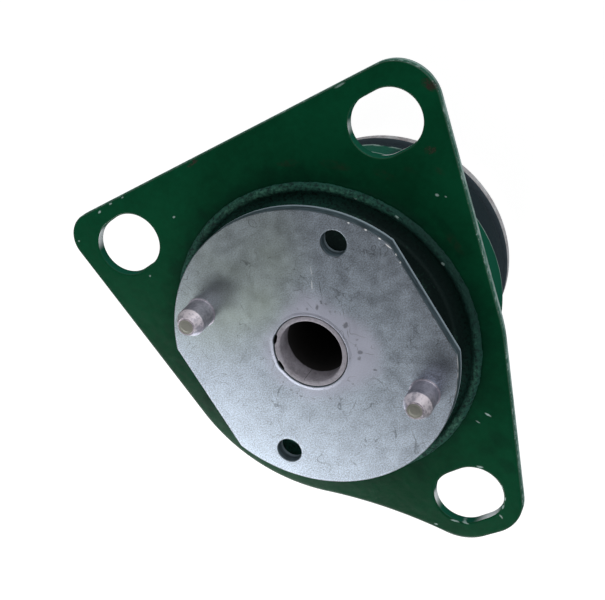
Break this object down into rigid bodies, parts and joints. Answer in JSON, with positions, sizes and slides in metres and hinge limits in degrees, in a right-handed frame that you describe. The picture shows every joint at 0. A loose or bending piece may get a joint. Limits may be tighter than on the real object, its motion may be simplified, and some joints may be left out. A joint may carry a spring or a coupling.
{
  "type": "engine mount",
  "caption": "Centre-bonded rubber engine mount: a drawn steel flange with slotted corners and a cup, round a rubber element with a centre tube and end plates.",
  "frame": {"origin": "centre of the bounding box, on the floor that the rear disc stands on; the mount axis stands at x -0.00235, y 0.0081", "axes": "+Z along the mount axis, towards the locating pins; +X along the flange's straight edge; +Y towards that edge"},
  "size_m": [0.148, 0.162, 0.1018],
  "materials": {
    "green_painted_steel": "gloss dark green paint, worn to metal on its edges",
    "green_painted_rubber": "moulded rubber, sprayed over with green paint",
    "zinc_plated_steel": "zinc plated, mottled and dull bright"
  },
  "bodies": {
    "core": {"centre_tube": "zinc_plated_steel", "front_plate": "zinc_plated_steel", "locating_pin_1": "zinc_plated_steel", "locating_pin_2": "zinc_plated_steel", "rear_disc": "zinc_plated_steel"},
    "frame_side": {"mounting_flange": "green_painted_steel", "rubber_element": "green_painted_rubber"}
  },
  "joints": [
    {"name": "axial_bounce", "type": "slide", "parent": "core", "child": "frame_side", "axis": [0, 0, 1], "range_m": [-0.004, 0.004], "stiffness_N_per_m": 250000, "deforming": ["rubber_element"]}
  ]
}
